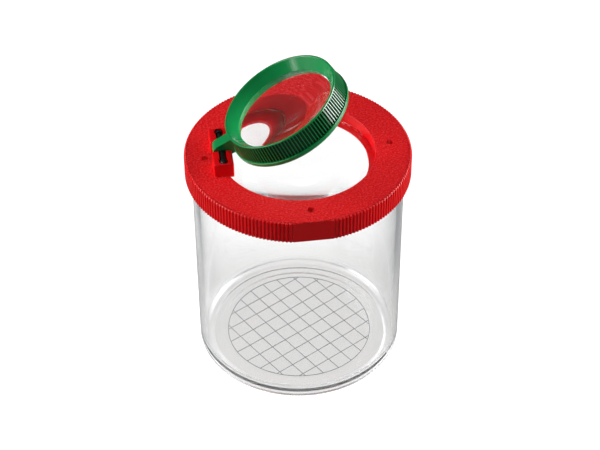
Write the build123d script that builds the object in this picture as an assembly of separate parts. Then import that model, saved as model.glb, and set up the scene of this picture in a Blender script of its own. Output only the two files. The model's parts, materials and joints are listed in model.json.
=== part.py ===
from build123d import *
import math
import os

# Bug catcher jar: a clear beaker with a measuring grid in its floor, a push-on lid that
# holds a large lens, and a small magnifier that swings up from the lid on a hinge pin.
# Millimetres. The origin is the middle of the jar's base, +Z is up, the hinge is on the
# -X side of the lid and the flat of its grip faces -Y.

# Jar
JAR_DIAMETER = 62.4
JAR_WALL = 1.8
JAR_HEIGHT = 69.3
RIM_BEVEL = 0.4
FLOOR_THICKNESS = 1.5
FLOOR_FILLET = 2.5
FOOT_HEIGHT = 0.7
FOOT_WIDTH = 2.8
FOOT_BEVEL = 1.0

# Measuring grid, printed in a shallow panel under the floor
GRID_CELL = 5.0
GRID_CELLS = 9
GRID_LINE = 0.18
GRID_INK = 0.12
GRID_TURN = 31.0
PANEL_MARGIN = 2.0
PANEL_DEPTH = 0.3

# Lid: cap, grip and air holes
LID_PLATE = 2.2
SKIRT_DEPTH = 4.6
SKIRT_WALL = 1.6
SKIRT_CLEARANCE = 0.15
SHOULDER_ROUND = 0.6
LID_RIBS = 190
LID_RIB_DEPTH = 0.3
FACET_WIDTH = 14.1
AIR_HOLES = 4
AIR_HOLE_DIAMETER = 2.2

# Lid lens, which snaps in between the opening's lip and a ledge inside the collar
OPENING_DIAMETER = 45.2
OPENING_BEVEL = 0.3
SEAT_DROP = 1.3
SEAT_WIDTH = 0.6
COLLAR_WALL = 1.7
LEDGE_WIDTH = 2.5
LEDGE_THICKNESS = 1.0
LID_LENS_FLANGE = 1.6
LID_LENS_MARGIN = 0.3
LID_LENS_CURVE = 120.0
LENS_CLEARANCE = 0.1
LEDGE_CLEARANCE = 0.05

# Swing ring and its lens
THROAT_DIAMETER = 29.6
THROAT_HEIGHT = 4.45
SWING_SEAT_WIDTH = 1.05
SWING_LENS_FLANGE = 1.5
SWING_LENS_MARGIN = 0.25
SWING_LENS_CURVE = 130.0
RING_WALL = 2.8
RING_HEIGHT = 7.7
RING_TAPER = 0.95
RING_EDGE = 0.55
BAND_HEIGHT = 1.75
BAND_STEP = 0.3
BAND_BEVEL = 0.6
LIP_HEIGHT = 0.35
RING_GROOVES = 116
GROOVE_WIDTH = 0.6
GROOVE_DEPTH = 0.5
RING_CLOSED_RISE = 1.0
RING_OPEN_ANGLE = 28.0

# Hinge
PIN_DIAMETER = 2.0
PIN_LENGTH = 16.4
PIN_HEAD_DIAMETER = 2.6
PIN_HEAD_LENGTH = 1.8
PIN_HEAD_ROUND = 1.25
PIN_RUNNING = 0.05
SLOT_CLEARANCE = 0.05
POST_INNER_WALL = 1.75
POST_OUTER_WALL = 1.95
POST_END_WALL = 0.5
POST_ABOVE_PIN = 0.1
POST_ROUND = 0.4
POST_DRAFT = 0.3
POST_SINK = 0.4
POST_RING_GAP = 0.85
KNUCKLE_DIAMETER = 5.2
KNUCKLE_LENGTH = 3.8
KNUCKLE_LIFT = 0.3
KNUCKLE_SIDE_GAP = 0.2
MOUTH_WIDTH = 1.6
MOUTH_ANGLE = 205.0
WEB_HEIGHT = 4.7
WEB_ROOT = 1.0
STOP_GAP = 0.3
STOP_WIDTH = 0.5

# Jar radii and heights
JAR_R = JAR_DIAMETER / 2
JAR_BORE_R = JAR_R - JAR_WALL
FLOOR_TOP = FOOT_HEIGHT + FLOOR_THICKNESS
FOOT_OUTER_R = JAR_R - FOOT_BEVEL
FOOT_INNER_R = FOOT_OUTER_R - FOOT_WIDTH
GRID_R = GRID_CELL * GRID_CELLS / 2
PANEL_R = GRID_R + PANEL_MARGIN
PANEL_Z = FOOT_HEIGHT + PANEL_DEPTH

# Lid radii and heights
LID_BORE_R = JAR_R + SKIRT_CLEARANCE
LID_ROOT_R = LID_BORE_R + SKIRT_WALL
LID_R = LID_ROOT_R + LID_RIB_DEPTH
PLATE_Z = JAR_HEIGHT
LID_TOP = PLATE_Z + LID_PLATE
SKIRT_Z = PLATE_Z - SKIRT_DEPTH
OPENING_R = OPENING_DIAMETER / 2
SEAT_Z = PLATE_Z - SEAT_DROP
SEAT_R = OPENING_R + SEAT_WIDTH
COLLAR_R = SEAT_R + COLLAR_WALL
LEDGE_R = SEAT_R - LEDGE_WIDTH
LEDGE_Z = SEAT_Z - LID_LENS_FLANGE - LEDGE_CLEARANCE
COLLAR_Z = LEDGE_Z - LEDGE_THICKNESS
AIR_HOLE_R = (COLLAR_R + JAR_BORE_R) / 2

# Ring radii, in the ring's own frame with its lower edge at height 0
THROAT_R = THROAT_DIAMETER / 2
RING_SEAT_R = THROAT_R + SWING_SEAT_WIDTH
BAND_R = RING_SEAT_R + RING_WALL
GRIP_R = BAND_R - BAND_STEP
RING_TOP_R = BAND_R - RING_TAPER

# Hinge places
PIN_R = PIN_DIAMETER / 2
KNUCKLE_R = KNUCKLE_DIAMETER / 2
SLOT_R = PIN_R + SLOT_CLEARANCE
POST_INNER_X = -(BAND_R + POST_RING_GAP)
HINGE_X = POST_INNER_X - POST_INNER_WALL - SLOT_R
HINGE_Z = LID_TOP + KNUCKLE_R + KNUCKLE_LIFT
POST_TOP = HINGE_Z + PIN_R + POST_ABOVE_PIN
POST_X = HINGE_X - SLOT_R - POST_OUTER_WALL
POST_NEAR_Y = KNUCKLE_LENGTH / 2 + KNUCKLE_SIDE_GAP
POST_FAR_Y = PIN_LENGTH / 2 + SLOT_CLEARANCE + POST_END_WALL
POST_FOOT_Z = LID_TOP - POST_SINK
RING_Z = LID_TOP + RING_CLOSED_RISE


def block(x, y, z):
    """A box between two limits on each axis."""
    size = [high - low for low, high in (x, y, z)]
    middle = tuple((low + high) / 2 for low, high in (x, y, z))
    return Pos(*middle) * Box(*size)


def rod(radius, z):
    """An upright cylinder on the Z axis between two heights."""
    return Pos(0, 0, (z[0] + z[1]) / 2) * Cylinder(radius, z[1] - z[0])


def cross_rod(radius, length, x, z):
    """A cylinder along Y, centred on y = 0."""
    return Pos(x, 0, z) * Rot(90, 0, 0) * Cylinder(radius, length)


def turned(edges):
    """A solid of revolution about Z from a closed outline of (radius, height) edges."""
    return revolve(Plane.XZ * make_face(edges), Axis.Z)


def outline(points):
    """A closed outline through (radius, height) points."""
    return Polyline(*points, close=True)


def make_jar():
    """Beaker with a filleted floor, a foot ring and a panel recess under the floor."""
    profile = make_face(
        outline(
            [
                (0, PANEL_Z),
                (PANEL_R, PANEL_Z),
                (PANEL_R, FOOT_HEIGHT),
                (FOOT_INNER_R, FOOT_HEIGHT),
                (FOOT_INNER_R, 0),
                (FOOT_OUTER_R, 0),
                (JAR_R, FOOT_BEVEL),
                (JAR_R, JAR_HEIGHT - RIM_BEVEL),
                (JAR_R - RIM_BEVEL, JAR_HEIGHT),
                (JAR_BORE_R, JAR_HEIGHT),
                (JAR_BORE_R, FLOOR_TOP),
                (0, FLOOR_TOP),
            ]
        )
    )
    inner_corner = profile.vertices().sort_by_distance((JAR_BORE_R, FLOOR_TOP))[0]
    profile = fillet(inner_corner, FLOOR_FILLET)
    return revolve(Plane.XZ * profile, Axis.Z)


def make_grid():
    """Crossed lines one cell apart inside a circle, as one thin layer of ink."""
    first_line = -(GRID_CELLS - 2) / 2 * GRID_CELL
    bars = Sketch()
    for i in range(GRID_CELLS - 1):
        place = first_line + i * GRID_CELL
        bars += Pos(place, 0) * Rectangle(GRID_LINE, 2 * GRID_R)
        bars += Pos(0, place) * Rectangle(2 * GRID_R, GRID_LINE)
    lines = (bars & Circle(GRID_R)) + (Circle(GRID_R) - Circle(GRID_R - GRID_LINE))
    return Pos(0, 0, PANEL_Z - GRID_INK) * Rot(0, 0, GRID_TURN) * extrude(lines, GRID_INK)


def make_lens(rim_r, dome_r, curve, flange_z):
    """A lens bulged alike on both sides, with a flat flange between two heights."""
    low, high = flange_z
    edge_drop = math.sqrt(curve**2 - dome_r**2)
    bulge = curve - edge_drop
    half_bulge = math.sqrt(curve**2 - (dome_r / 2) ** 2) - edge_drop
    sides = Polyline((dome_r, low), (rim_r, low), (rim_r, high), (dome_r, high))
    top = ThreePointArc((dome_r, high), (dome_r / 2, high + half_bulge), (0, high + bulge))
    axis_line = Line((0, high + bulge), (0, low - bulge))
    bottom = ThreePointArc((0, low - bulge), (dome_r / 2, low - half_bulge), (dome_r, low))
    return turned([sides, top, axis_line, bottom])


def lid_grip():
    """The lid's outer form: a ribbed round with a rounded shoulder and one flat."""
    pitch = 2 * math.pi / LID_RIBS
    points = []
    for i in range(LID_RIBS):
        for share, radius in ((-0.28, LID_ROOT_R), (-0.12, LID_R), (0.12, LID_R), (0.28, LID_ROOT_R)):
            angle = (i + share) * pitch
            points.append((radius * math.cos(angle), radius * math.sin(angle)))
    ribbed = Pos(0, 0, SKIRT_Z) * extrude(make_face(outline(points)), LID_TOP - SKIRT_Z)
    envelope = rod(LID_R, (SKIRT_Z, LID_TOP))
    envelope = fillet(envelope.edges().group_by(Axis.Z)[-1], SHOULDER_ROUND)
    facet_y = -math.sqrt(LID_R**2 - (FACET_WIDTH / 2) ** 2)
    flat = block((-FACET_WIDTH, FACET_WIDTH), (facet_y - LID_R, facet_y), (SKIRT_Z, LID_TOP))
    return (ribbed & envelope) - flat


def lid_cuts():
    """Room for the jar's rim, the lens and the view through it, and the air holes."""
    mouth = rod(LID_BORE_R, (SKIRT_Z, PLATE_Z)) - rod(COLLAR_R, (COLLAR_Z, PLATE_Z))
    seat = rod(SEAT_R, (LEDGE_Z, SEAT_Z)) + rod(LEDGE_R, (COLLAR_Z, LEDGE_Z))
    throat = rod(OPENING_R, (SEAT_Z, PLATE_Z))
    view = rod(OPENING_R, (PLATE_Z, LID_TOP))
    view += Pos(0, 0, LID_TOP - OPENING_BEVEL / 2) * Cone(OPENING_R, OPENING_R + OPENING_BEVEL, OPENING_BEVEL)
    holes = [
        place * rod(AIR_HOLE_DIAMETER / 2, (PLATE_Z, LID_TOP))
        for place in PolarLocations(AIR_HOLE_R, AIR_HOLES)
    ]
    return [mouth, seat, throat, view, *holes]


def hinge_post():
    """One of the two posts that carry the pin, on the +Y side, with half of the stop between them."""
    foot_y = POST_FAR_Y + POST_DRAFT
    side = outline(
        [
            (POST_NEAR_Y, POST_FOOT_Z),
            (foot_y, POST_FOOT_Z),
            (foot_y, LID_TOP),
            (POST_FAR_Y, POST_TOP),
            (POST_NEAR_Y, POST_TOP),
        ]
    )
    post = Pos(POST_X, 0, 0) * extrude(Plane.YZ * make_face(side), POST_INNER_X - POST_X)
    post = fillet(post.edges().group_by(Axis.Z)[-1], POST_ROUND)
    stop_x = (POST_INNER_X - STOP_WIDTH, POST_INNER_X)
    return post + block(stop_x, (0, POST_NEAR_Y), (POST_FOOT_Z, RING_Z - STOP_GAP))


def pin_form(radius, head_radius, spare):
    """The pin's rod and its two heads, grown all round by a clearance."""
    form = cross_rod(radius + spare, PIN_LENGTH, HINGE_X, HINGE_Z)
    head_length = PIN_HEAD_LENGTH + spare
    for side in (-1, 1):
        middle = side * (PIN_LENGTH / 2 + spare - head_length / 2)
        form += Pos(0, middle, 0) * cross_rod(head_radius + spare, head_length, HINGE_X, HINGE_Z)
    return form


def pin_slots():
    """Slots open at the top, with round ends, so that the pin drops in between the post walls."""
    slots = pin_form(PIN_R, PIN_HEAD_DIAMETER / 2, SLOT_CLEARANCE)
    reach = PIN_LENGTH / 2 + SLOT_CLEARANCE
    head_start = PIN_LENGTH / 2 - PIN_HEAD_LENGTH
    head_r = PIN_HEAD_DIAMETER / 2 + SLOT_CLEARANCE
    above = (HINGE_Z, POST_TOP)
    slots += block((HINGE_X - SLOT_R, HINGE_X + SLOT_R), (-head_start, head_start), above)
    end = reach - head_r
    for side in (-1, 1):
        near, far = sorted((side * head_start, side * end))
        slots += block((HINGE_X - head_r, HINGE_X + head_r), (near, far), above)
        slots += Pos(HINGE_X, side * end, 0) * rod(head_r, above)
    return slots


def make_lid():
    """Ribbed cap with its lens collar, air holes and hinge posts."""
    lid = lid_grip() - lid_cuts()
    post = hinge_post()
    lid += [post, mirror(post, about=Plane.XZ)]
    return lid - pin_slots()


def make_pin():
    """Hinge pin with a rounded head at each end."""
    pin = pin_form(PIN_R, PIN_HEAD_DIAMETER / 2, 0)
    end_faces = [pin.faces().sort_by(Axis.Y)[0], pin.faces().sort_by(Axis.Y)[-1]]
    return fillet([edge for face in end_faces for edge in face.edges()], PIN_HEAD_ROUND)


def ring_grooves():
    """Grip grooves that follow the slope of the ring's side."""
    low, high = BAND_HEIGHT, RING_HEIGHT - LIP_HEIGHT
    slope = math.degrees(math.atan2(GRIP_R - RING_TOP_R, RING_HEIGHT - BAND_HEIGHT))
    middle = (GRIP_R + RING_TOP_R) / 2
    groove = Rot(0, -slope, 0) * Box(2 * GROOVE_DEPTH, GROOVE_WIDTH, high - low)
    half_pitch = 180 / RING_GROOVES
    places = PolarLocations(middle, RING_GROOVES, start_angle=half_pitch)
    return [place * Pos(0, 0, (low + high) / 2) * groove for place in places]


def knuckle_web():
    """The web between the knuckle and the ring, whose top runs off the knuckle's round."""
    root = (-(RING_SEAT_R + WEB_ROOT), RING_Z + WEB_HEIGHT)
    along = (root[0] - HINGE_X, root[1] - HINGE_Z)
    touch = math.atan2(along[1], along[0]) + math.acos(KNUCKLE_R / math.hypot(*along))
    side = outline(
        [
            (HINGE_X, RING_Z),
            (root[0], RING_Z),
            root,
            (HINGE_X + KNUCKLE_R * math.cos(touch), HINGE_Z + KNUCKLE_R * math.sin(touch)),
        ]
    )
    return extrude(Plane.XZ * make_face(side), KNUCKLE_LENGTH / 2, both=True)


def make_ring():
    """Swing ring with its funnel, lens seat, grip and knuckle, in its closed place."""
    ring = turned(
        outline(
            [
                (RING_SEAT_R, 0),
                (BAND_R - BAND_BEVEL, 0),
                (BAND_R, BAND_BEVEL),
                (BAND_R, BAND_HEIGHT),
                (GRIP_R, BAND_HEIGHT),
                (RING_TOP_R, RING_HEIGHT),
                (RING_TOP_R - RING_EDGE, RING_HEIGHT),
                (THROAT_R, THROAT_HEIGHT),
                (RING_SEAT_R, THROAT_HEIGHT),
            ]
        )
    )
    ring = Pos(0, 0, RING_Z) * (ring - ring_grooves())
    mouth = Pos(KNUCKLE_R, 0, 0) * Box(2 * KNUCKLE_R, KNUCKLE_LENGTH, MOUTH_WIDTH)
    mouth = Pos(HINGE_X, 0, HINGE_Z) * Rot(0, -MOUTH_ANGLE, 0) * mouth
    ring += [cross_rod(KNUCKLE_R, KNUCKLE_LENGTH, HINGE_X, HINGE_Z), knuckle_web()]
    return ring - [cross_rod(PIN_R + PIN_RUNNING, KNUCKLE_LENGTH, HINGE_X, HINGE_Z), mouth]


def swung(piece):
    """A closed ring piece, turned about the hinge to the angle it is stored at."""
    return piece.rotate(Axis((HINGE_X, 0, HINGE_Z), (0, -1, 0)), RING_OPEN_ANGLE)


lid_lens = make_lens(
    SEAT_R - LENS_CLEARANCE,
    LEDGE_R - LID_LENS_MARGIN,
    LID_LENS_CURVE,
    (SEAT_Z - LID_LENS_FLANGE, SEAT_Z),
)
swing_lens = Pos(0, 0, RING_Z) * make_lens(
    RING_SEAT_R - LENS_CLEARANCE,
    THROAT_R - SWING_LENS_MARGIN,
    SWING_LENS_CURVE,
    (THROAT_HEIGHT - SWING_LENS_FLANGE, THROAT_HEIGHT),
)

nodes = {
    "jar": make_jar(),
    "measuring_grid": make_grid(),
    "lid": make_lid(),
    "lid_lens": lid_lens,
    "hinge_pin": make_pin(),
    "swing_ring": swung(make_ring()),
    "swing_lens": swung(swing_lens),
}

os.makedirs("parts", exist_ok=True)
for name, solid in nodes.items():
    export_step(solid, f"parts/{name}.step")
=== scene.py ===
import json
import math

import bmesh
import bpy
from bpy.props import FloatProperty, FloatVectorProperty, IntProperty, PointerProperty
from mathutils import Matrix, Vector


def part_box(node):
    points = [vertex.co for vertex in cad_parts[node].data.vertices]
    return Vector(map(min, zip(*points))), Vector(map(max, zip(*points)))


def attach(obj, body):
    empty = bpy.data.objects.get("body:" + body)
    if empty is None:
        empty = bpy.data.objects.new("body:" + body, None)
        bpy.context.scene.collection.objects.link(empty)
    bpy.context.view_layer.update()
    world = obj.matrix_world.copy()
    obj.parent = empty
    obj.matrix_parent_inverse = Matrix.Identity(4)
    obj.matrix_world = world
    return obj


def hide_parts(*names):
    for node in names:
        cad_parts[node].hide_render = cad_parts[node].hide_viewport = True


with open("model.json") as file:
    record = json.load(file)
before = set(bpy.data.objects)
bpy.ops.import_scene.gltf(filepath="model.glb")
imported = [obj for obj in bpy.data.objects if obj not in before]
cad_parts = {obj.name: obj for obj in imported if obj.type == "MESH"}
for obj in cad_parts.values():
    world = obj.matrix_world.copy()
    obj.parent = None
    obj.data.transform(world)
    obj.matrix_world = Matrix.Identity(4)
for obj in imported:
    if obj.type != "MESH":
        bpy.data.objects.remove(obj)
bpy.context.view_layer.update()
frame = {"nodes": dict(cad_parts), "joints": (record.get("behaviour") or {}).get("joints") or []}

bl_info = {
    "name": "Bug Catcher Jar",
    "version": (1, 0, 0),
    "blender": (4, 5, 0),
    "location": "3D View > Sidebar > Bug Jar",
    "description": "Models and finishes a clear jar with a lens lid and a swing magnifier",
    "category": "Object",
}

MM = 0.001

# Fineness of the meshes
WELD = 0.002 * MM  # points closer than this are one
HOLD = 0.08 * MM  # from a round to the points that keep its sides flat
LATHE_STEPS = 240
DOME_STEPS = 28
ARC_STEP = math.radians(6)
ROUND_STEP = 0.16 * MM
ROUND_FEWEST = 3
ROUND_MOST = 12
ROD_FACETS = 64
HOLE_FACETS = 32
FLOOR_FACETS = 96
SMOOTH_ANGLE = math.radians(38)
LENS_SMOOTH_ANGLE = math.radians(8)

# Places that the frame gives
JAR_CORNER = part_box("jar")[1]
LID_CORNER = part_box("lid")[1]
SWING = next(joint for joint in frame["joints"] if joint["name"] == "ring_swing")
HINGE = Vector(SWING["pos_m"])
SWUNG_OPEN = math.radians(-SWING["range_deg"][0])


def length(name, description, default):
    """A length property, given in millimetres and kept in metres."""
    return FloatProperty(
        name=name, description=description, default=default * MM, precision=5, unit="LENGTH"
    )


def turn(name, description, default):
    """An angle property, given in degrees."""
    return FloatProperty(
        name=name, description=description, default=math.radians(default), unit="ROTATION"
    )


def colour(name, description, default):
    """A colour property."""
    return FloatVectorProperty(
        name=name,
        description=description,
        default=(*default, 1.0),
        size=4,
        min=0.0,
        max=1.0,
        subtype="COLOR",
    )


class JarSizes(bpy.types.PropertyGroup):
    """Sizes of the clear jar"""

    radius: length("Radius", "Outer radius of the wall", JAR_CORNER.x / MM)
    height: length("Height", "Height of the rim above the table", JAR_CORNER.z / MM)
    wall: length("Wall", "Thickness of the wall", 1.8)
    rim_round: length("Rim round", "Round on the outer edge of the rim", 0.4)
    floor: length("Floor", "Thickness of the floor", 1.5)
    fillet: length("Floor fillet", "Round inside, between the floor and the wall", 2.5)
    foot_height: length("Foot height", "Height of the floor's underside above the table", 0.7)
    foot_width: length("Foot width", "Width of the foot ring", 2.8)
    foot_bevel: length("Foot bevel", "Slope outside the foot ring", 1.0)
    foot_round: length("Foot round", "Round between the slope and the foot ring", 0.35)
    bevel_round: length("Bevel round", "Round between the slope and the wall", 0.5)
    step_round: length("Step round", "Round on both edges inside the foot ring", 0.33)
    panel_radius: length("Panel radius", "Radius of the recess that holds the grid", 24.5)
    panel_depth: length("Panel depth", "Depth of the recess that holds the grid", 0.3)
    panel_slope: length("Panel slope", "Half the width of the slope round the recess", 0.7)
    panel_round: length("Panel round", "Round on both edges of the slope round the recess", 0.5)


class LidSizes(bpy.types.PropertyGroup):
    """Sizes of the lid's cap"""

    radius: length("Radius", "Radius over the ribs", LID_CORNER.x / MM)
    plate: length("Plate", "Thickness of the top plate", 2.2)
    skirt: length("Skirt", "Depth of the skirt below the plate", 4.6)
    bore: length("Bore", "Radius of the bore that fits over the jar", 31.35)
    shoulder: length("Shoulder", "Round between the top and the ribs", 0.6)
    ribs: IntProperty(name="Ribs", description="Number of grip ribs", default=190, min=12)
    rib_depth: length("Rib depth", "Height of a rib above its valley", 0.3)
    facet_width: length("Facet width", "Width of the flat on the grip", 14.1)
    opening: length("Opening", "Radius of the opening over the lens", 22.6)
    opening_bevel: length("Opening bevel", "Bevel on the edge of the opening", 0.3)
    seat_drop: length("Seat drop", "Depth of the lens seat below the plate", 1.3)
    seat: length("Seat", "Radius of the lens seat", 23.2)
    collar: length("Collar", "Outer radius of the lens collar", 24.9)
    ledge: length("Ledge", "Radius inside the ledge under the lens", 20.7)
    ledge_drop: length("Ledge drop", "Depth of the ledge below the lens seat", 1.65)
    ledge_plate: length("Ledge plate", "Thickness of the ledge", 1.0)
    ledge_round: length("Ledge round", "Round on the upper edge of the ledge", 0.15)
    edge_round: length("Edge round", "Round on the edges of the skirt and the collar", 0.2)
    air_holes: IntProperty(name="Air holes", description="Number of air holes", default=4, min=1)
    air_hole: length("Air hole", "Diameter of an air hole", 2.2)
    air_circle: length("Air circle", "Radius of the circle of air holes", 27.15)


class HingeSizes(bpy.types.PropertyGroup):
    """Sizes of the hinge between the lid and the swing ring"""

    pin: length("Pin", "Radius of the pin's slot", 1.05)
    pin_head: length("Pin head", "Radius of the slot for the pin's heads", 1.35)
    pin_reach: length("Pin reach", "Half the length of the pin's slot", 8.25)
    pin_shank: length("Pin shank", "Half the length of the pin between its heads", 6.4)
    outer_wall: length("Outer wall", "Wall of a post outside the slot", 1.95)
    inner_wall: length("Inner wall", "Wall of a post between the slot and the opening", 1.75)
    post_near: length("Post near", "Distance of a post from the middle", 2.1)
    post_far: length("Post far", "Distance of a post's far face from the middle", 8.75)
    post_round: length("Post round", "Round on a post's edges", 0.45)
    post_sink: length("Post sink", "How far a post reaches below the lid's top", 0.4)
    post_draft: length("Post draft", "How far a post's far face slopes out", 0.3)
    stop_height: length("Stop height", "Height of the stop ledge above the lid", 0.7)
    stop_width: length("Stop width", "Width of the stop ledge", 0.5)
    knuckle: length("Knuckle", "Outer radius of the ring's knuckle", 2.6)
    knuckle_bore: length("Knuckle bore", "Radius of the knuckle's bore", 1.05)
    knuckle_half: length("Knuckle half", "Half the length of the knuckle", 1.9)
    knuckle_round: length("Knuckle round", "Round on the knuckle's edges", 0.6)
    mouth: length("Mouth", "Width of the knuckle's mouth", 1.6)
    mouth_turn: turn("Mouth turn", "Where the mouth points, from +X", 205.0)
    web_height: length("Web height", "Height of the web where it meets the ring", 4.7)
    web_root: length("Web root", "How far the web stays out of the lens seat", 1.0)


class RingSizes(bpy.types.PropertyGroup):
    """Sizes of the swing ring"""

    rise: length("Rise", "Height of the closed ring above the lid", 1.0)
    height: length("Height", "Height of the ring", 7.7)
    throat: length("Throat", "Radius of the ring's throat", 14.8)
    throat_height: length("Throat height", "Height of the throat above the lower edge", 4.45)
    seat: length("Seat", "Radius of the lens seat", 15.85)
    band: length("Band", "Radius of the plain band", 18.65)
    band_height: length("Band height", "Height of the plain band", 1.75)
    band_bevel: length("Band bevel", "Bevel below the plain band", 0.6)
    grip: length("Grip", "Radius of the grip at its foot", 18.35)
    top: length("Top", "Radius of the ring at its top", 17.7)
    edge: length("Edge", "Width of the flat top edge", 0.55)
    lip: length("Lip", "Height of the plain lip above the grooves", 0.35)
    seat_round: length("Seat round", "Round on the edges of the seat and the band", 0.1)
    band_round: length("Band round", "Round on both edges of the band's bevel", 0.15)
    lip_round: length("Lip round", "Round on the edges of the lip and the throat", 0.12)
    grooves: IntProperty(name="Grooves", description="Number of grip grooves", default=116, min=12)
    groove_depth: length("Groove depth", "Depth of a groove", 0.5)
    groove_end: length("Groove end", "Height in which a groove runs out below the lip", 0.2)


class LidLensSizes(bpy.types.PropertyGroup):
    """Sizes of the lens in the lid"""

    rim: length("Rim", "Radius of the flange", 23.1)
    dome: length("Dome", "Radius of the curved part", 20.4)
    curve: length("Curve", "Radius that both faces are curved to", 120.0)
    flange: length("Flange", "Thickness of the flange", 1.6)
    edge: length("Edge", "Round on the flange's edges", 0.15)


class SwingLensSizes(bpy.types.PropertyGroup):
    """Sizes of the lens in the swing ring"""

    rim: length("Rim", "Radius of the flange", 15.75)
    dome: length("Dome", "Radius of the curved part", 14.55)
    curve: length("Curve", "Radius that both faces are curved to", 130.0)
    flange: length("Flange", "Thickness of the flange", 1.5)
    edge: length("Edge", "Round on the flange's edges", 0.15)


class Colours(bpy.types.PropertyGroup):
    """Colours of the mouldings"""

    red: colour("Red", "Lid", (0.8, 0.002, 0.005))
    # Painted highlight colour: the pale pink of the glints painted on the lid's texture
    speck: colour("Speck", "Bright specks in the lid's texture", (0.97, 0.09, 0.1))
    green: colour("Green", "Swing ring", (0.004, 0.235, 0.058))
    clear: colour("Clear", "What the jar's plastic lets through", (0.46, 0.52, 0.51))
    lens: colour("Lens", "What the lenses let through", (0.50, 0.53, 0.52))
    ink: colour("Ink", "Lines of the measuring grid", (0.1, 0.104, 0.106))
    pin: colour("Pin", "Blackened steel of the hinge pin", (0.022, 0.019, 0.017))
    worn: colour("Worn", "Worn spots on the hinge pin", (0.13, 0.12, 0.11))


class StageSettings(bpy.types.PropertyGroup):
    """Camera, floor and lights"""

    focal: FloatProperty(
        name="Focal length", description="Camera's focal length", default=102.9, unit="CAMERA"
    )
    pitch: turn("Pitch", "How far the camera looks down", 40.83)
    heading: turn("Heading", "Camera's turn about the jar", -7.7)
    roll: turn("Roll", "Camera's turn about its own line of sight", -0.29)
    aside: length("Aside", "Camera's distance to the right of the jar's axis", 0.5)
    back: length("Back", "Camera's distance in front of the jar's axis", 392.0)
    above: length("Above", "Camera's height above the table", 381.4)
    floor_radius: length("Floor radius", "Radius of the floor", 4000.0)
    floor_drop: length("Floor drop", "Depth of the floor below the jar's foot", 0.02)


class BugJarSettings(bpy.types.PropertyGroup):
    """All that a user would change on the bug catcher jar"""

    jar: PointerProperty(type=JarSizes)
    lid: PointerProperty(type=LidSizes)
    hinge: PointerProperty(type=HingeSizes)
    ring: PointerProperty(type=RingSizes)
    lid_lens: PointerProperty(type=LidLensSizes)
    swing_lens: PointerProperty(type=SwingLensSizes)
    colours: PointerProperty(type=Colours)
    stage: PointerProperty(type=StageSettings)


# Edit tools


def leave_edit():
    """Object mode, with nothing selected."""
    if bpy.context.object and bpy.context.object.mode != "OBJECT":
        bpy.ops.object.mode_set(mode="OBJECT")
    bpy.ops.object.select_all(action="DESELECT")


def take(piece):
    """Object mode, with one piece selected and active."""
    leave_edit()
    piece.select_set(True)
    bpy.context.view_layer.objects.active = piece


def begin_line(name, radius, height):
    """A new piece in edit mode that holds one selected vertex, in the XZ plane."""
    leave_edit()
    bpy.ops.mesh.primitive_plane_add(size=MM, enter_editmode=True)
    piece = bpy.context.object
    piece.name = name
    piece.data.name = name
    bpy.ops.mesh.merge(type="CENTER")
    bpy.ops.transform.translate(value=(radius, 0, height))
    return piece


def draw_line(points):
    """Extrudes the selected vertex through the rest of the (radius, height) points."""
    for here, there in zip(points, points[1:]):
        step = (there[0] - here[0], 0, there[1] - here[1])
        bpy.ops.mesh.extrude_vertices_move(TRANSFORM_OT_translate={"value": step})


def pick_all():
    """Selects all of the piece in edit mode."""
    bpy.ops.mesh.select_all(action="SELECT")


def pick(piece, test):
    """Selects the vertices whose places pass a test, and nothing else."""
    mesh = bmesh.from_edit_mesh(piece.data)
    for vertex in mesh.verts:
        vertex.select_set(test(vertex.co))
    mesh.select_mode = {"VERT"}
    mesh.select_flush_mode()
    bmesh.update_edit_mesh(piece.data)


def pick_edges(piece, test):
    """Selects the edges whose two ends pass a test, and nothing else."""
    mesh = bmesh.from_edit_mesh(piece.data)
    for vertex in mesh.verts:
        vertex.select_set(False)
    for edge in mesh.edges:
        edge.select_set(test(edge.verts[0].co, edge.verts[1].co))
    bmesh.update_edit_mesh(piece.data)


def bevel(rounding, affect):
    """Rounds off what is selected, with as many facets as the radius takes."""
    facets = max(ROUND_FEWEST, min(ROUND_MOST, math.ceil(rounding / ROUND_STEP)))
    bpy.ops.mesh.bevel(offset=rounding, segments=facets, affect=affect)


def round_corners(piece, corners):
    """Rounds off a line's (radius, height, rounding) corners."""
    for radius, height, rounding in corners:
        if rounding:
            corner = Vector((radius, 0, height))
            pick(piece, lambda place: (place - corner).length < WELD)
            bevel(rounding, "VERTICES")


def held_points(corners, closed):
    """A profile's corners, with a point beside each round on its long sides, to keep them flat."""
    points = []
    last = len(corners) - 1
    for i, (radius, height, rounding) in enumerate(corners):
        corner = Vector((radius, height))
        before, after = corners[i - 1], corners[(i + 1) % len(corners)]
        hold = rounding + HOLD
        for neighbour, at_end in ((before, i == 0), (after, i == last)):
            side = Vector(neighbour[:2]) - corner
            room = side.length - neighbour[2] - HOLD
            if rounding and room > hold and (closed or not at_end):
                points.append(corner + side.normalized() * hold)
            if neighbour is before:
                points.append(corner)
    return points


def draw_profile(name, corners, closed):
    """A piece that holds a rounded (radius, height, rounding) profile."""
    points = held_points(corners, closed)
    if closed:
        points.append(points[0])
    piece = begin_line(name, *points[0])
    draw_line(points)
    weld()
    round_corners(piece, corners)
    return piece


def weld():
    """Merges what lies on the same spot."""
    pick_all()
    bpy.ops.mesh.remove_doubles(threshold=WELD)


def close_shell():
    """Merges what lies on the same spot and points the faces outwards."""
    weld()
    bpy.ops.mesh.normals_make_consistent(inside=False)


def spin_round():
    """Spins a profile all the way about the Z axis."""
    pick_all()
    bpy.ops.mesh.spin(steps=LATHE_STEPS, angle=2 * math.pi, center=(0, 0, 0), axis=(0, 0, 1))
    close_shell()


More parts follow.
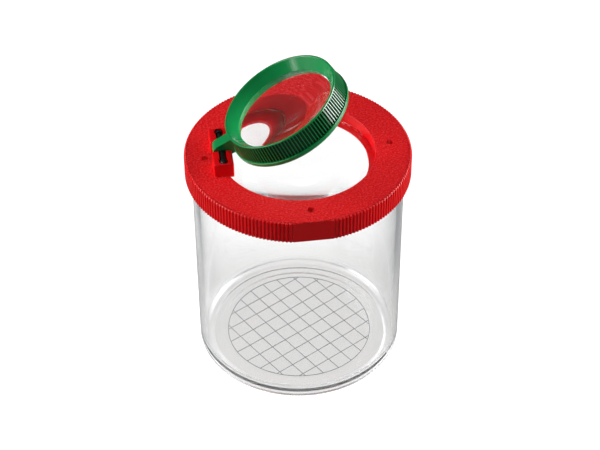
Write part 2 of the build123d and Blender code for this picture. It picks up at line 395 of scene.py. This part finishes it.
def spin_grip(piece, count, columns, ridge, depth, outside):
    """Spins one pitch of a grip, sinks its valley, and copies the pitch all round.

    The ridge is half the share of a pitch that stays up, and outside tells from a point's
    distance from the axis and its height whether it may sink.
    """
    pitch = 2 * math.pi / count
    pick_all()
    bpy.ops.mesh.spin(steps=columns, angle=pitch, center=(0, 0, 0), axis=(0, 0, 1))
    largest = max(vertex.co.x for vertex in bmesh.from_edit_mesh(piece.data).verts)

    def in_valley(place):
        share = abs(math.atan2(place.y, place.x)) / pitch
        return abs(share - 0.5) > ridge and outside(math.hypot(place.x, place.y), place.z)

    pick(piece, in_valley)
    sunk = 1 - depth / largest
    bpy.ops.transform.resize(value=(sunk, sunk, 1), center_override=(0, 0, 0))
    pick_all()
    copies = count - 1
    bpy.ops.mesh.spin(
        steps=copies, angle=pitch * copies, dupli=True, center=(0, 0, 0), axis=(0, 0, 1)
    )
    close_shell()


def swing_open(piece):
    """Turns a closed piece about the hinge to the angle that it rests at."""
    bpy.ops.object.mode_set(mode="EDIT")
    pick_all()
    bpy.ops.transform.rotate(value=SWUNG_OPEN, orient_axis="Y", center_override=HINGE)


def block(name, x, y, z):
    """A box between two limits on each axis, in object mode, with its place in its mesh."""
    leave_edit()
    bpy.ops.mesh.primitive_cube_add(size=1, enter_editmode=True)
    piece = bpy.context.object
    piece.name = name
    limits = (x, y, z)
    spans = [high - low for low, high in limits]
    bpy.ops.transform.resize(value=spans, center_override=(0, 0, 0))
    bpy.ops.transform.translate(value=[(low + high) / 2 for low, high in limits])
    bpy.ops.object.mode_set(mode="OBJECT")
    return piece


def rod(name, radius, start, end, facets=ROD_FACETS):
    """A cylinder between two points on a line along Y or Z, with its place in its mesh."""
    leave_edit()
    along = Vector(end) - Vector(start)
    bpy.ops.mesh.primitive_cylinder_add(
        vertices=facets, radius=radius, depth=along.length, enter_editmode=True
    )
    piece = bpy.context.object
    piece.name = name
    if abs(along.y) > abs(along.z):
        bpy.ops.transform.rotate(value=math.pi / 2, orient_axis="X", center_override=(0, 0, 0))
    bpy.ops.transform.translate(value=(Vector(start) + Vector(end)) / 2)
    bpy.ops.object.mode_set(mode="OBJECT")
    return piece


def apply_modifier(piece, kind, **settings):
    """Adds a modifier to a piece and applies it."""
    take(piece)
    modifier = piece.modifiers.new(kind.title(), kind)
    for name, value in settings.items():
        setattr(modifier, name, value)
    bpy.ops.object.modifier_apply(modifier=modifier.name)


def combine(piece, operation, *others):
    """Joins other solids to a piece, or cuts them from it, and removes them."""
    for other in others:
        apply_modifier(piece, "BOOLEAN", operation=operation, object=other, solver="EXACT")
        mesh = other.data
        bpy.data.objects.remove(other)
        bpy.data.meshes.remove(mesh)


def paint(piece, finish):
    """Gives a piece its finish."""
    piece.data.materials.clear()
    piece.data.materials.append(finish)


def settle(piece, node, body, finish, smooth=SMOOTH_ANGLE):
    """Shades a finished piece and puts it in a node's place on its body."""
    take(piece)
    bpy.ops.object.shade_smooth_by_angle(angle=smooth)
    paint(piece, finish)
    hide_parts(node)
    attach(piece, body)


# Shader tools


class Signal:
    """A shader socket, whose arithmetic adds Math nodes."""

    def __init__(self, tree, socket):
        self.tree = tree
        self.socket = socket

    def out(self, name):
        """Another output of the same node."""
        return Signal(self.tree, self.socket.node.outputs[name])

    def maths(self, operation, first, second):
        """What a Math node makes of two values."""
        return self.tree.add("ShaderNodeMath", {"operation": operation}, {0: first, 1: second})

    def __add__(self, other):
        return self.maths("ADD", self, other)

    def __radd__(self, other):
        return self.maths("ADD", other, self)

    def __sub__(self, other):
        return self.maths("SUBTRACT", self, other)

    def __rsub__(self, other):
        return self.maths("SUBTRACT", other, self)

    def __mul__(self, other):
        return self.maths("MULTIPLY", self, other)

    def __rmul__(self, other):
        return self.maths("MULTIPLY", other, self)


class ShaderTree:
    """The node tree of a material or of the world."""

    def __init__(self, owner):
        owner.use_nodes = True
        self.owner = owner
        self.nodes = owner.node_tree.nodes
        self.links = owner.node_tree.links
        self.nodes.clear()

    def add(self, kind, settings=None, sockets=None, output=0):
        """Adds a node, sets it, fills its sockets and returns one of its outputs."""
        node = self.nodes.new(kind)
        for name, value in (settings or {}).items():
            setattr(node, name, value)
        for name, value in (sockets or {}).items():
            if isinstance(value, Signal):
                self.links.new(value.socket, node.inputs[name])
            else:
                node.inputs[name].default_value = value
        return Signal(self, node.outputs[output]) if node.outputs else None

    def place(self):
        """Where a point lies on the object, in metres."""
        return self.add("ShaderNodeTexCoord").out("Object")

    def split(self, vector):
        """A vector's first part. The others are its outputs Y and Z."""
        return self.add("ShaderNodeSeparateXYZ", {}, {"Vector": vector})

    def reach(self, place):
        """How far a point lies from the Z axis."""
        sockets = {0: place, 1: (1, 1, 0)}
        flat = self.add("ShaderNodeVectorMath", {"operation": "MULTIPLY"}, sockets)
        return self.add("ShaderNodeVectorMath", {"operation": "LENGTH"}, {0: flat}, "Value")

    def band(self, value, low, high, soft):
        """1 between two values and 0 outside them, with a smooth change beyond each."""
        return self.fade(value, low - soft, low) * (1 - self.fade(value, high, high + soft))

    def noise(self, place, grain, detail=2.0, roughness=0.5):
        """Noise with grains of a given size, from 0 to 1."""
        sockets = {"Vector": place, "Scale": 1 / grain, "Detail": detail, "Roughness": roughness}
        return self.add("ShaderNodeTexNoise", {}, sockets)

    def fade(self, value, low, high):
        """0 below one value and 1 above another, with a smooth change between."""
        sockets = {"Value": value, "From Min": low, "From Max": high}
        return self.add("ShaderNodeMapRange", {"interpolation_type": "SMOOTHSTEP"}, sockets)

    def mix(self, share, first, second):
        """A colour between two others."""
        sockets = {0: share, 6: first, 7: second}
        return self.add("ShaderNodeMix", {"data_type": "RGBA"}, sockets, 2)

    def bump(self, height, distance, strength=1.0):
        """A normal that follows a height, whose 1 is a given distance."""
        sockets = {"Height": height, "Distance": distance, "Strength": strength}
        return self.add("ShaderNodeBump", {}, sockets)

    def choose(self, share, first, second):
        """A shader between two others."""
        return self.add("ShaderNodeMixShader", {}, {0: share, 1: first, 2: second})

    def principled(self, sockets):
        """A principled shader with these sockets."""
        return self.add("ShaderNodeBsdfPrincipled", {}, sockets)

    def surface(self, shader):
        """Puts a shader on the material's surface and returns the material."""
        self.add("ShaderNodeOutputMaterial", {}, {"Surface": shader})
        return self.owner


def new_finish(name):
    """The empty tree of a new material."""
    return ShaderTree(bpy.data.materials.new(name))


def shade(base, share):
    """A colour made darker or lighter."""
    return tuple(min(1.0, part * share) for part in base[:3]) + (1.0,)


# Places


def lid_top(settings):
    """Height of the lid's flat top."""
    return settings.jar.height + settings.lid.plate


def ring_foot(settings):
    """Height of the closed ring's lower edge."""
    return lid_top(settings) + settings.ring.rise


def ring_axis_foot(settings):
    """The lowest point of the open ring's axis."""
    closed = Vector((0, 0, ring_foot(settings))) - HINGE
    return HINGE + Matrix.Rotation(-SWUNG_OPEN, 3, "Y") @ closed


def ring_taper(size):
    """How much the swing ring's grip narrows for each metre of height."""
    return (size.grip - size.top) / (size.height - size.band_height)


def post_inner_x(settings):
    """Where the posts' faces over the opening lie."""
    return HINGE.x + settings.hinge.pin + settings.hinge.inner_wall


# Finishes


def red_finish(settings):
    """Moulded red plastic: fine spark texture on the lid's top, smooth elsewhere. On the top,
    painted highlights brighten the texture's high points and painted shade darkens its dips.
    """
    tree = new_finish("red_moulding")
    red = settings.colours.red
    top = lid_top(settings)
    place = tree.place()
    height = tree.split(place).out("Z")
    flat = tree.fade(height, top - 0.25 * MM, top - 0.05 * MM)
    flat = flat * (1 - tree.fade(height, top + 0.05 * MM, top + 0.3 * MM))
    spark = tree.noise(place, grain=0.55 * MM, detail=3.0, roughness=0.6)
    cloud = tree.noise(place, grain=9 * MM)
    # Painted highlight: the texture's high points are lifted toward a pale pink, standing in for
    # glints on its real grain
    speck = flat * tree.fade(spark, low=0.46, high=0.64)
    # Painted shade: the texture's low points are darkened
    dip_shade = flat * (1 - tree.fade(spark, low=0.36, high=0.5))
    tone = tree.mix(cloud * 0.5, red, shade(red, 0.86))
    tone = tree.mix(dip_shade * 0.3, tone, shade(red, 0.5))
    tone = tree.mix(speck * 0.42, tone, settings.colours.speck)
    sockets = {
        "Base Color": tone,
        "Roughness": 0.26 + flat * 0.15 + cloud * 0.06,
        "IOR": 1.45,
        "Specular IOR Level": 0.3,
        "Normal": tree.bump((spark - 0.5) * flat, distance=0.16 * MM, strength=0.8),
    }
    return tree.surface(tree.principled(sockets))


def green_finish(settings):
    """Glossy green plastic with faint turning marks in the ring's funnel, and painted shade in the
    grip's grooves.
    """
    tree = new_finish("green_moulding")
    green = settings.colours.green
    place = tree.place()
    closed = tree.add(
        "ShaderNodeMapping",
        {"vector_type": "TEXTURE"},
        {"Vector": place, "Location": ring_axis_foot(settings), "Rotation": (0, -SWUNG_OPEN, 0)},
    )
    height = tree.split(closed).out("Z")
    reach = tree.reach(closed)
    edge = settings.ring.top
    funnel = 1 - tree.fade(reach, edge - 0.7 * MM, edge - 0.5 * MM)
    mark_pitch = 0.32 * MM
    turned = height * (2 * math.pi / mark_pitch)
    marks = tree.add("ShaderNodeMath", {"operation": "SINE"}, {0: turned})
    cloud = tree.noise(place, grain=6 * MM)
    tone = tree.mix(cloud * 0.6, green, shade(green, 0.8))
    groove = groove_shade_mask(tree, settings.ring, reach, height)
    sockets = {
        # Painted shade: the grip's valleys are darkened nearly to black
        "Base Color": tree.mix(groove * 0.85, tone, shade(green, 0.1)),
        "Roughness": 0.16 + cloud * 0.08,
        "IOR": 1.5,
        "Normal": tree.bump(marks * funnel, distance=0.004 * MM, strength=0.5),
    }
    return tree.surface(tree.principled(sockets))


def groove_shade_mask(tree, size, reach, height):
    """1 in the valleys of the ring's grip and 0 elsewhere: where shade is painted on the green."""
    deep = size.groove_depth
    depth = size.grip - ring_taper(size) * (height - size.band_height) - reach
    sunk = tree.fade(depth, deep * 0.2, deep * 0.8)
    sunk = sunk * (1 - tree.fade(depth, deep * 1.3, deep * 1.6))
    lip = size.height - size.lip
    above = tree.fade(height, size.band_height, size.band_height + 0.1 * MM)
    return sunk * above * (1 - tree.fade(height, lip - size.groove_end, lip))


def corner_haze(tree, place, size):
    """1 in the jar's inner floor corner and on the step inside its foot, and 0 elsewhere."""
    bore = size.radius - size.wall
    floor = size.foot_height + size.floor
    step = size.radius - size.foot_bevel - size.foot_width
    reach = tree.reach(place)
    height = tree.split(place).out("Z")
    inside = tree.band(reach, bore - size.fillet, bore, soft=0.3 * MM)
    inside = inside * tree.band(height, floor, floor + size.fillet, soft=0.5 * MM)
    under = tree.band(reach, step - 0.4 * MM, step + 0.4 * MM, soft=0.1 * MM)
    above = tree.fade(height, size.foot_height, size.foot_height + 0.1 * MM)
    return inside + under * (1 - above)


def clear_finish(name, tint, density, refraction, wave, jar=None):
    """Clear moulded plastic that darkens with depth and lets lamps through."""
    tree = new_finish(name)
    place = tree.place()
    flow = tree.noise(place, grain=14 * MM, detail=1.0)
    wear = tree.noise(place, grain=1.3 * MM, detail=4.0, roughness=0.7)
    scuffs = tree.fade(wear, low=0.62, high=0.8)
    roughness = 0.01 + scuffs * 0.012
    if jar:
        roughness = roughness + corner_haze(tree, place, jar) * 0.3
    sockets = {
        "Base Color": (1, 1, 1, 1),
        "Roughness": roughness,
        "IOR": refraction,
        "Transmission Weight": 1.0,
        "Normal": tree.bump(flow, wave),
    }
    plastic = tree.principled(sockets)
    lamps = tree.add("ShaderNodeBsdfTransparent", {}, {"Color": (0.96, 0.97, 0.97, 1)})
    shadow = tree.add("ShaderNodeLightPath").out("Is Shadow Ray")
    mixed = tree.choose(shadow, plastic, lamps)
    depth = tree.add("ShaderNodeVolumeAbsorption", {}, {"Color": tint, "Density": density})
    tree.add("ShaderNodeOutputMaterial", {}, {"Surface": mixed, "Volume": depth})
    return tree.owner


def ink_finish(settings):
    """Dark printed lines of slightly uneven ink."""
    tree = new_finish("grid_ink")
    ink = settings.colours.ink
    patch = tree.noise(tree.place(), grain=0.8 * MM, detail=3.0)
    sockets = {
        "Base Color": tree.mix(patch * 0.7, ink, shade(ink, 1.9)),
        "Roughness": 0.5 + patch * 0.2,
    }
    return tree.surface(tree.principled(sockets))


def pin_finish(settings):
    """Blackened steel with fine marks round the pin and worn spots."""
    tree = new_finish("blackened_steel")
    black = settings.colours.pin
    place = tree.place()
    stretched = tree.add("ShaderNodeMapping", {}, {"Vector": place, "Scale": (1, 0.15, 1)})
    marks = tree.noise(stretched, grain=0.25 * MM, detail=3.0, roughness=0.6)
    worn = tree.fade(tree.noise(place, grain=1.1 * MM, detail=3.0), low=0.58, high=0.72)
    sockets = {
        "Base Color": tree.mix(worn * 0.6, black, settings.colours.worn),
        "Metallic": 0.65 + worn * 0.3,
        "Roughness": 0.3 + marks * 0.2,
        "Normal": tree.bump(marks, distance=0.01 * MM, strength=0.5),
    }
    return tree.surface(tree.principled(sockets))


def floor_finish():
    """White floor. Through the clear walls it shows painted light: a bright pool behind the jar
    and painted shade beside it.
    """
    tree = new_finish("pale_floor")
    place = tree.split(tree.place())
    aside = tree.add("ShaderNodeMath", {"operation": "ABSOLUTE"}, {0: place.out("X")})
    white, grey, black = (1, 1, 1, 1), (0.2, 0.2, 0.2, 1), (0, 0, 0, 1)
    # Painted light and shade, seen only through clear pieces: brighter behind the jar, dimmer
    # beside it
    behind = tree.fade(place.out("Y"), low=20 * MM, high=60 * MM)
    beside = tree.fade(aside, low=34 * MM, high=66 * MM)
    floor_light_and_shade = tree.mix(behind, (0.67, 0.665, 0.66, 1), white)
    floor_light_and_shade = tree.mix(beside, floor_light_and_shade, (0.3, 0.31, 0.32, 1))
    through = tree.principled(
        {"Base Color": black, "Emission Color": floor_light_and_shade, "Emission Strength": 1.2}
    )
    plain = tree.principled({"Base Color": grey, "Roughness": 0.7})
    bright = tree.principled(
        {"Base Color": grey, "Emission Color": white, "Emission Strength": 0.98}
    )
    path = tree.add("ShaderNodeLightPath")
    mirrored = path.out("Is Glossy Ray") * (1 - path.out("Is Transmission Ray"))
    bounced = path.out("Is Diffuse Ray") + mirrored
    indirect = tree.choose(bounced, through, plain)
    return tree.surface(tree.choose(path.out("Is Camera Ray"), indirect, bright))


# Pieces


class MakeJar(bpy.types.Operator):
    """Spin the clear jar from the outline of its wall, floor and foot"""

    bl_idname = "bug_jar.make_jar"
    bl_label = "Clear jar"

    def execute(self, context):
        settings = context.scene.bug_jar
        size = settings.jar
        bore = size.radius - size.wall
        foot = size.radius - size.foot_bevel
        foot_inside = foot - size.foot_width
        panel = size.foot_height + size.panel_depth
        floor = size.foot_height + size.floor
        piece = draw_profile(
            "clear_jar",
            [
                (0, panel, 0),
                (size.panel_radius - size.panel_slope, panel, size.panel_round),
                (size.panel_radius + size.panel_slope, size.foot_height, size.panel_round),
                (foot_inside, size.foot_height, size.step_round),
                (foot_inside, 0, size.step_round),
                (foot, 0, size.foot_round),
                (size.radius, size.foot_bevel, size.bevel_round),
                (size.radius, size.height, size.rim_round),
                (bore, size.height, size.rim_round / 2),
                (bore, floor, size.fillet),
                (0, floor, 0),
            ],
            closed=False,
        )
        spin_round()
        finish = clear_finish(
            "clear_styrene",
            settings.colours.clear,
            density=8.0,
            refraction=1.57,
            wave=0.03 * MM,
            jar=size,
        )
        settle(piece, "jar", "jar", finish)
        return {"FINISHED"}


class DressGrid(bpy.types.Operator):
    """Ink the measuring grid under the floor"""

    bl_idname = "bug_jar.dress_grid"
    bl_label = "Measuring grid"

    def execute(self, context):
        paint(frame["nodes"]["measuring_grid"], ink_finish(context.scene.bug_jar))
        return {"FINISHED"}


class MakeLid(bpy.types.Operator):
    """Model the ribbed lid with its collar, air holes and hinge posts"""

    bl_idname = "bug_jar.make_lid"
    bl_label = "Lid"

    def execute(self, context):
        settings = context.scene.bug_jar
        piece = self.ribbed_cap(settings)
        leave_edit()
        combine(piece, "UNION", self.post_pair(settings), self.stop_ledge(settings))
        combine(piece, "DIFFERENCE", *self.air_holes(settings))
        self.cut_facet(piece, settings.lid)
        settle(piece, "lid", "lid", red_finish(settings))
        return {"FINISHED"}

    def ribbed_cap(self, settings):
        """The turned cap, with its ribs and valleys."""
        size = settings.lid
        top = lid_top(settings)
        plate = settings.jar.height
        skirt = plate - size.skirt
        seat = plate - size.seat_drop
        ledge = seat - size.ledge_drop
        collar = ledge - size.ledge_plate
        piece = draw_profile(
            "red_lid",
            [
                (size.radius, skirt, size.edge_round),
                (size.radius, top, size.shoulder),
                (size.opening, top, size.opening_bevel),
                (size.opening, seat, 0),
                (size.seat, seat, 0),
                (size.seat, ledge, 0),
                (size.ledge, ledge, size.ledge_round),
                (size.ledge, collar, size.edge_round),
                (size.collar, collar, size.edge_round),
                (size.collar, plate, size.edge_round),
                (size.bore, plate, size.edge_round),
                (size.bore, skirt, size.edge_round),
            ],
            closed=True,
        )
        shoulder = size.radius - size.shoulder - WELD
        spin_grip(
            piece,
            size.ribs,
            columns=6,
            ridge=0.2,
            depth=size.rib_depth,
            outside=lambda reach, height: reach > shoulder,
        )
        return piece

    def cut_facet(self, piece, size):
        """The flat in the grip, facing -Y."""
        facet = -math.sqrt(size.radius**2 - (size.facet_width / 2) ** 2)
        bpy.ops.object.mode_set(mode="EDIT")
        pick_all()
        bpy.ops.mesh.bisect(
            plane_co=(0, facet, 0),
            plane_no=(0, -1, 0),
            use_fill=True,
            clear_outer=True,
            threshold=WELD,
        )
        pick_all()
        bpy.ops.mesh.dissolve_degenerate(threshold=WELD)

    def post_pair(self, settings):
        """Both hinge posts, with their slots."""
        post = self.rounded_post(settings)
        combine(post, "DIFFERENCE", *self.slot_cutters(settings.hinge, LID_CORNER.z))
        apply_modifier(post, "MIRROR", use_axis=(False, True, False), use_mirror_merge=False)
        return post

    def rounded_post(self, settings):
        """A rounded post that overhangs the opening, whose far face slopes a little."""
        size = settings.hinge
        foot = lid_top(settings) - size.post_sink
        top = LID_CORNER.z
        outer = HINGE.x - size.pin - size.outer_wall
        inner = post_inner_x(settings)
        far = size.post_far
        post = block("posts", (outer, inner), (size.post_near, far), (foot, top))
        bpy.ops.object.mode_set(mode="EDIT")
        pick(post, lambda place: place.y > far - WELD and place.z < foot + WELD)
        bpy.ops.transform.translate(value=(0, size.post_draft, 0))
        pick_edges(post, lambda start, end: max(start.z, end.z) > top - WELD)
        bevel(size.post_round, "EDGES")
        close_shell()
        leave_edit()
        return post

    def stop_ledge(self, settings):
        """The bar between the posts that stops the ring as it closes."""
        size = settings.hinge
        inner = post_inner_x(settings) - HOLD / 2
        foot = lid_top(settings) - size.post_sink + HOLD
        reach = size.post_near + 2 * size.post_round
        top = lid_top(settings) + size.stop_height
        return block("ledge", (inner - size.stop_width, inner), (-reach, reach), (foot, top))

    def slot_cutters(self, size, top):
        """What the pin's slot and the slot for its head take out of a post."""
        above = top + MM
        end = size.pin_reach - size.pin_head
        cutters = [rod("slot", size.pin_head, (HINGE.x, end, HINGE.z), (HINGE.x, end, above))]
        for radius, near, far, open_far in (
            (size.pin, 0, size.pin_shank, size.pin_shank),
            (size.pin_head, size.pin_shank - WELD, size.pin_reach, end),
        ):
            cutters.append(rod("slot", radius, (HINGE.x, near, HINGE.z), (HINGE.x, far, HINGE.z)))
            width = (HINGE.x - radius, HINGE.x + radius)
            cutters.append(block("slot", width, (near, open_far), (HINGE.z, above)))
        return cutters

    def air_holes(self, settings):
        """Cutters for the ring of air holes through the plate."""
        size = settings.lid
        radius = size.air_hole / 2
        low, high = settings.jar.height - MM, lid_top(settings) + MM
        holes = []
        for i in range(size.air_holes):
            angle = 2 * math.pi * i / size.air_holes
            x = size.air_circle * math.cos(angle)
            y = size.air_circle * math.sin(angle)
            holes.append(rod("hole", radius, (x, y, low), (x, y, high), HOLE_FACETS))
        return holes


class MakeLenses(bpy.types.Operator):
    """Spin the large lens in the lid and the small lens in the swing ring"""

    bl_idname = "bug_jar.make_lenses"
    bl_label = "Lenses"

    def execute(self, context):
        settings = context.scene.bug_jar
        finish = clear_finish(
            "clear_acrylic",
            settings.colours.lens,
            density=12.0,
            refraction=1.49,
            wave=0.004 * MM,
        )
        seat = settings.jar.height - settings.lid.seat_drop
        large = self.lens("large_lens", settings.lid_lens, seat)
        settle(large, "lid_lens", "lid_lens", finish, LENS_SMOOTH_ANGLE)
        seat = ring_foot(settings) + settings.ring.throat_height
        small = self.lens("small_lens", settings.swing_lens, seat)
        swing_open(small)
        settle(small, "swing_lens", "swing_magnifier", finish, LENS_SMOOTH_ANGLE)
        return {"FINISHED"}

    def lens(self, name, size, top):
        """A lens bulged alike on both sides, with its flange's top at a height."""
        low = top - size.flange
        reach = math.asin(size.dome / size.curve)
        centre_drop = size.curve * math.cos(reach)
        bulge = size.curve - centre_drop
        piece = begin_line(name, 0, low - bulge)
        self.draw_dome(low + centre_drop, reach)
        draw_line([(size.dome, low), (size.rim, low), (size.rim, top), (size.dome, top)])
        self.draw_dome(top - centre_drop, reach)
        round_corners(piece, [(size.rim, low, size.edge), (size.rim, top, size.edge)])
        spin_round()
        return piece

    def draw_dome(self, centre, reach):
        """Spins the selected vertex through an arc about a point on the lens's axis."""
        bpy.ops.mesh.spin(steps=DOME_STEPS, angle=reach, center=(0, 0, centre), axis=(0, 1, 0))


class MakeRing(bpy.types.Operator):
    """Model the swing ring with its funnel, grip and knuckle"""

    bl_idname = "bug_jar.make_ring"
    bl_label = "Swing ring"

    def execute(self, context):
        settings = context.scene.bug_jar
        piece = self.grooved_ring(settings)
        leave_edit()
        combine(piece, "UNION", self.knuckle(settings))
        swing_open(piece)
        settle(piece, "swing_ring", "swing_magnifier", green_finish(settings))
        return {"FINISHED"}

    def grooved_ring(self, settings):
        """The turned ring, with its grip grooves."""
        size = settings.ring
        foot = ring_foot(settings)
        shelf = foot + size.band_height
        top = foot + size.height
        groove_top = top - size.lip
        throat = foot + size.throat_height
        groove_end = groove_top - size.groove_end

        def side(height):
            return size.grip - ring_taper(size) * (height - shelf)

        piece = draw_profile(
            "green_ring",
            [
                (size.seat, foot, size.seat_round),
                (size.band - size.band_bevel, foot, size.band_round),
                (size.band, foot + size.band_bevel, size.band_round),
                (size.band, shelf, size.seat_round),
                (size.grip, shelf, 0),
                (side(groove_end), groove_end, 0),
                (side(groove_top), groove_top, 0),
                (size.top, top, size.lip_round),
                (size.top - size.edge, top, size.lip_round),
                (size.throat, throat, size.lip_round),
                (size.seat, throat, 0),
            ],
            closed=True,
        )

        def on_grip(reach, height):
            on_side = size.top - WELD < reach < size.grip + WELD
            return on_side and shelf - WELD < height < (groove_end + groove_top) / 2

        spin_grip(
            piece, size.grooves, columns=8, ridge=0.13, depth=size.groove_depth, outside=on_grip
        )
        return piece

    def knuckle(self, settings):
        """The claw that snaps over the hinge pin, with the web that joins it to the ring."""
        size = settings.hinge
        half = size.knuckle_half
        claw = self.claw_outline(settings)
        bpy.ops.mesh.edge_face_add()
        bpy.ops.transform.translate(value=(0, -half, 0))
        bpy.ops.mesh.extrude_region_move(TRANSFORM_OT_translate={"value": (0, 2 * half, 0)})
        close_shell()
        pick_edges(claw, lambda start, end: start.y == end.y)
        bevel(size.knuckle_round, "EDGES")
        leave_edit()
        return claw

    def claw_outline(self, settings):
        """The claw's outline in the XZ plane: web, outer round, mouth and bore."""
        size = settings.hinge
        foot = ring_foot(settings)
        root = -(settings.ring.seat + size.web_root)
        web_top = foot + size.web_height
        outer, bore = size.knuckle, size.knuckle_bore
        along = Vector((root - HINGE.x, web_top - HINGE.z))
        top_turn = math.atan2(along.y, along.x) + math.acos(outer / along.length)
        foot_turn = 2 * math.pi - math.asin((HINGE.z - foot) / outer)
        outer_gap = math.asin(size.mouth / 2 / outer)
        bore_gap = math.asin(size.mouth / 2 / bore)

        def on_round(radius, angle):
            return (HINGE.x + radius * math.cos(angle), HINGE.z + radius * math.sin(angle))

        upper, lower = size.mouth_turn - outer_gap, size.mouth_turn + outer_gap
        upper_bore, lower_bore = size.mouth_turn - bore_gap, size.mouth_turn + bore_gap
        piece = begin_line("knuckle", root, web_top)
        draw_line([(root, web_top), on_round(outer, top_turn)])
        self.draw_round(upper - top_turn)
        draw_line([on_round(outer, upper), on_round(bore, upper_bore)])
        self.draw_round(2 * bore_gap - 2 * math.pi)
        draw_line([on_round(bore, lower_bore), on_round(outer, lower)])
        self.draw_round(foot_turn - lower)
        draw_line([on_round(outer, foot_turn), (root, foot), (root, web_top)])
        weld()
        tip = size.knuckle_round
        round_corners(piece, [(*on_round(outer, upper), tip), (*on_round(outer, lower), tip)])
        pick_all()
        return piece

    def draw_round(self, angle):
        """Spins the selected vertex about the hinge."""
        steps = math.ceil(abs(angle) / ARC_STEP)
        bpy.ops.mesh.spin(steps=steps, angle=angle, center=HINGE, axis=(0, 1, 0))


class DressPin(bpy.types.Operator):
    """Blacken the hinge pin"""

    bl_idname = "bug_jar.dress_pin"
    bl_label = "Hinge pin"

    def execute(self, context):
        paint(frame["nodes"]["hinge_pin"], pin_finish(context.scene.bug_jar))
        return {"FINISHED"}


# Stage: each softbox has a place, a width and a height in metres, and a power in watts
SOFTBOXES = {
    "left": ((-0.89, 0.08, 0.46), 0.7, 0.85, 13.2),
    "right": ((0.93, 0.05, 0.19), 0.8, 0.38, 15.8),
    "overhead": ((0.0, 0.15, 1.2), 0.9, 0.9, 1.2),
    "front_left": ((-0.83, -0.47, 0.13), 0.1, 0.24, 0.6),
}


class SetStage(bpy.types.Operator):
    """Set the floor, the softboxes, the world and the camera"""

    bl_idname = "bug_jar.set_stage"
    bl_label = "Stage"

    def execute(self, context):
        settings = context.scene.bug_jar.stage
        self.floor(settings)
        for name, (place, width, height, power) in SOFTBOXES.items():
            self.softbox(name, Vector(place), width, height, power)
        self.world(context.scene)
        self.camera(context.scene, settings)
        self.look(context.scene)
        return {"FINISHED"}

    def floor(self, settings):
        """A wide round floor just under the jar's foot."""
        leave_edit()
        bpy.ops.mesh.primitive_circle_add(
            vertices=FLOOR_FACETS,
            radius=settings.floor_radius,
            fill_type="NGON",
            location=(0, 0, -settings.floor_drop),
        )
        floor = bpy.context.object
        floor.name = "floor"
        paint(floor, floor_finish())

    def softbox(self, name, place, width, height, power):
        """A lamp that faces the jar."""
        leave_edit()
        aim = Vector((0, 0, JAR_CORNER.z / 2)) - place
        bpy.ops.object.light_add(
            type="AREA", location=place, rotation=aim.to_track_quat("-Z", "Y").to_euler()
        )
        lamp = bpy.context.object
        lamp.name = f"softbox_{name}"
        lamp.data.shape = "RECTANGLE"
        lamp.data.size = width
        lamp.data.size_y = height
        lamp.data.energy = power

    def world(self, scene):
        """A dim room, which is paler through the clear pieces."""
        scene.world = bpy.data.worlds.new("room")
        tree = ShaderTree(scene.world)
        dim = tree.add("ShaderNodeBackground", {}, {"Color": (0.055, 0.055, 0.055, 1)})
        pale = tree.add("ShaderNodeBackground", {}, {"Color": (0.15, 0.15, 0.155, 1)})
        through = tree.add("ShaderNodeLightPath").out("Is Transmission Ray")
        tree.add("ShaderNodeOutputWorld", {}, {"Surface": tree.choose(through, dim, pale)})

    def camera(self, scene, settings):
        """The camera, at the photograph's angle."""
        leave_edit()
        around = Matrix.Rotation(settings.heading, 4, "Z")
        tilt = Matrix.Rotation(math.pi / 2 - settings.pitch, 4, "X")
        roll = Matrix.Rotation(settings.roll, 4, "Z")
        bpy.ops.object.camera_add(
            location=around @ Vector((settings.aside, -settings.back, settings.above)),
            rotation=(around @ tilt @ roll).to_euler(),
        )
        camera = bpy.context.object
        camera.data.sensor_width = 36.0
        camera.data.lens = settings.focal
        camera.data.clip_start = 10 * MM
        scene.camera = camera

    def look(self, scene):
        """Plain colours, and enough bounces for light to get through the clear walls."""
        scene.view_settings.view_transform = "Standard"
        scene.view_settings.look = "None"
        cycles = scene.cycles
        cycles.max_bounces = 64
        cycles.transmission_bounces = 64
        cycles.transparent_max_bounces = 32
        cycles.glossy_bounces = 64
        cycles.diffuse_bounces = 6
        cycles.sample_clamp_indirect = 3.0
        cycles.use_denoising = True


class BugJarPanel(bpy.types.Panel):
    """The jar's operators and settings, in the sidebar"""

    bl_idname = "VIEW3D_PT_bug_jar"
    bl_label = "Bug Jar"
    bl_space_type = "VIEW_3D"
    bl_region_type = "UI"
    bl_category = "Bug Jar"

    def draw(self, context):
        settings = context.scene.bug_jar
        for operator in OPERATORS:
            self.layout.operator(operator.bl_idname)
        for name in BugJarSettings.__annotations__:
            group = getattr(settings, name)
            box = self.layout.box()
            box.label(text=name.replace("_", " ").title())
            for prop in group.__annotations__:
                box.prop(group, prop)


OPERATORS = (MakeJar, DressGrid, MakeLenses, MakeLid, DressPin, MakeRing, SetStage)
GROUPS = (
    JarSizes,
    LidSizes,
    HingeSizes,
    RingSizes,
    LidLensSizes,
    SwingLensSizes,
    Colours,
    StageSettings,
    BugJarSettings,
)
CLASSES = (*GROUPS, *OPERATORS, BugJarPanel)


def register():
    for cls in CLASSES:
        bpy.utils.register_class(cls)
    bpy.types.Scene.bug_jar = PointerProperty(type=BugJarSettings)


def unregister():
    del bpy.types.Scene.bug_jar
    for cls in reversed(CLASSES):
        bpy.utils.unregister_class(cls)


def main():
    register()
    bpy.ops.bug_jar.make_jar()
    bpy.ops.bug_jar.dress_grid()
    bpy.ops.bug_jar.make_lenses()
    bpy.ops.bug_jar.make_lid()
    bpy.ops.bug_jar.dress_pin()
    bpy.ops.bug_jar.make_ring()
    bpy.ops.bug_jar.set_stage()


if __name__ == "__main__":
    main()
